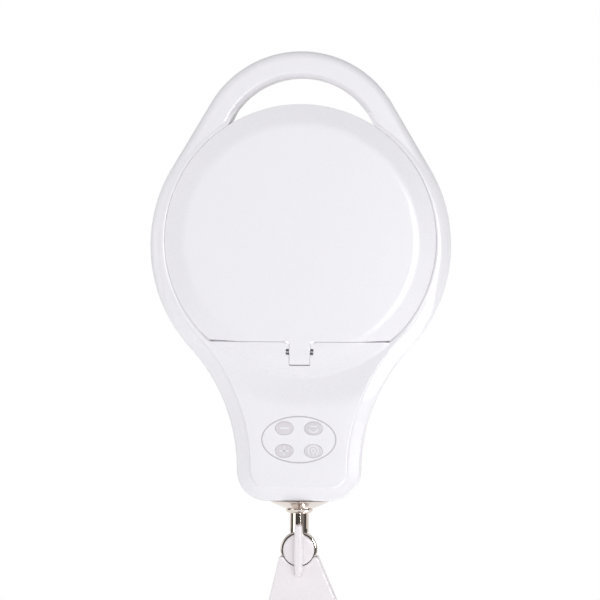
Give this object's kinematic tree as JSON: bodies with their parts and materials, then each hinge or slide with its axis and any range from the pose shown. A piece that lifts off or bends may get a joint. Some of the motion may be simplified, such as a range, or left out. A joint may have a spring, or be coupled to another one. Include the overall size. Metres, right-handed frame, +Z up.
{
  "type": "clamp magnifier lamp",
  "caption": "Magnifier lamp: round lens head with hinged dust cover, ring light, touch keys and carry handle, on a swivel stem, sprung swing arm and table clamp.",
  "frame": {"origin": "table top plane under the clamp's upper jaw, on the swivel post's axis", "axes": "+Z up along the post, +X to the right seen from the front, head faces -Y"},
  "size_m": [0.3062, 0.0464, 0.908],
  "materials": {
    "white_plastic": "smooth semi-gloss",
    "white_paint": "smooth powder coat",
    "chrome_plate": "polished",
    "steel": "plain zinc plate",
    "rubber": "matt",
    "lens_glass": "polished",
    "milk_plastic": "frosted",
    "board": "solder mask",
    "led_chip": "phosphor",
    "grey_print": "printed film",
    "contact_brass": "plain",
    "black_plastic": "moulded"
  },
  "bodies": {
    "clamp": {"clamp_frame": "white_paint", "jaw_pad": "rubber"},
    "foot": {"clamp_foot": "steel", "foot_pad": "rubber"},
    "screw": {"clamp_screw": "steel", "tommy_bar": "steel", "tommy_caps": "black_plastic"},
    "base": {"base_front": "white_plastic", "base_rear": "white_plastic", "base_post": "chrome_plate", "base_pins": "chrome_plate", "base_washer": "black_plastic"},
    "lower_main": {"lower_main_bar": "white_paint", "lower_spring_pin": "chrome_plate", "lower_spring_front": "chrome_plate", "lower_spring_rear": "chrome_plate"},
    "lower_link": {"lower_link_bar": "white_paint"},
    "elbow": {"elbow_front": "white_plastic", "elbow_rear": "white_plastic", "elbow_spacer": "white_plastic", "elbow_pins": "chrome_plate"},
    "upper_main": {"upper_main_bar": "white_paint", "upper_spring_pin": "chrome_plate", "upper_spring_front": "chrome_plate", "upper_spring_rear": "chrome_plate"},
    "upper_link": {"upper_link_bar": "white_paint"},
    "bracket": {"bracket_front": "white_plastic", "bracket_rear": "white_plastic", "bracket_screws": "steel", "bracket_pins": "chrome_plate", "tilt_washers": "black_plastic", "tilt_nut": "steel"},
    "knob": {"tilt_knob": "white_plastic", "tilt_bolt": "steel"},
    "stem": {"stem": "chrome_plate", "bell": "chrome_plate", "stem_clip": "steel"},
    "head": {"front_shell": "white_plastic", "rear_shell": "white_plastic", "lens": "lens_glass", "lens_retainer": "white_plastic", "led_board": "board", "leds": "led_chip", "diffuser": "milk_plastic", "touch_panel": "white_plastic", "touch_keys": "grey_print", "touch_board": "board", "touch_springs": "contact_brass", "power_inlet": "black_plastic", "shell_screws": "steel", "swivel_bush": "steel", "cover_pin": "steel"},
    "cover": {"lens_cover": "white_plastic"}
  },
  "joints": [
    {"name": "base_swivel", "type": "hinge", "parent": "clamp", "child": "base", "pos_m": [0, 0, 0.042], "axis": [0, 0, 1], "range_deg": [-170, 170]},
    {"name": "lower_arm", "type": "hinge", "parent": "base", "child": "lower_main", "pos_m": [-0.013, 0, 0.0815], "axis": [0, 1, 0], "range_deg": [-12, 80], "deforming": ["lower_spring_front", "lower_spring_rear"]},
    {"name": "lower_link_turn", "type": "hinge", "parent": "base", "child": "lower_link", "pos_m": [0.013, 0, 0.0815], "axis": [0, 1, 0], "range_deg": [-12, 80]},
    {"name": "elbow_turn", "type": "hinge", "parent": "lower_main", "child": "elbow", "pos_m": [-0.21217, 0, 0.24863], "axis": [0, 1, 0], "range_deg": [-80, 12]},
    {"name": "upper_arm", "type": "hinge", "parent": "elbow", "child": "upper_main", "pos_m": [-0.18617, 0, 0.29263], "axis": [0, 1, 0], "range_deg": [-80, 12], "deforming": ["upper_spring_front", "upper_spring_rear"]},
    {"name": "upper_link_turn", "type": "hinge", "parent": "elbow", "child": "upper_link", "pos_m": [-0.21217, 0, 0.29263], "axis": [0, 1, 0], "range_deg": [-80, 12]},
    {"name": "bracket_turn", "type": "hinge", "parent": "upper_main", "child": "bracket", "pos_m": [0.013, 0, 0.45975], "axis": [0, 1, 0], "range_deg": [-12, 80]},
    {"name": "knob_turn", "type": "hinge", "parent": "bracket", "child": "knob", "pos_m": [-0.003, 0, 0.49775], "axis": [0, 1, 0], "range_deg": [-180, 180]},
    {"name": "head_tilt", "type": "hinge", "parent": "bracket", "child": "stem", "pos_m": [-0.003, 0, 0.49775], "axis": [0, 1, 0], "range_deg": [-70, 70]},
    {"name": "head_swivel", "type": "hinge", "parent": "stem", "child": "head", "pos_m": [-0.003, 0, 0.52775], "axis": [0, 0, 1], "range_deg": [-160, 160]},
    {"name": "cover_hinge", "type": "hinge", "parent": "head", "child": "cover", "pos_m": [-0.003, -0.014, 0.61385], "axis": [1, 0, 0], "range_deg": [0, 105]},
    {"name": "foot_slide", "type": "slide", "parent": "clamp", "child": "foot", "axis": [0, 0, 1], "range_m": [-0.012, 0.025]},
    {"name": "screw_turn", "type": "hinge", "parent": "foot", "child": "screw", "pos_m": [0, 0, -0.06], "axis": [0, 0, 1], "range_deg": [-2160, 4500]}
  ],
  "couplings": [
    {"joint": "lower_link_turn", "follows": "lower_arm", "ratio": 1},
    {"joint": "elbow_turn", "follows": "lower_arm", "ratio": -1},
    {"joint": "upper_link_turn", "follows": "upper_arm", "ratio": 1},
    {"joint": "bracket_turn", "follows": "upper_arm", "ratio": -1},
    {"joint": "screw_turn", "follows": "foot_slide", "rad_per_m": 3141.6}
  ]
}
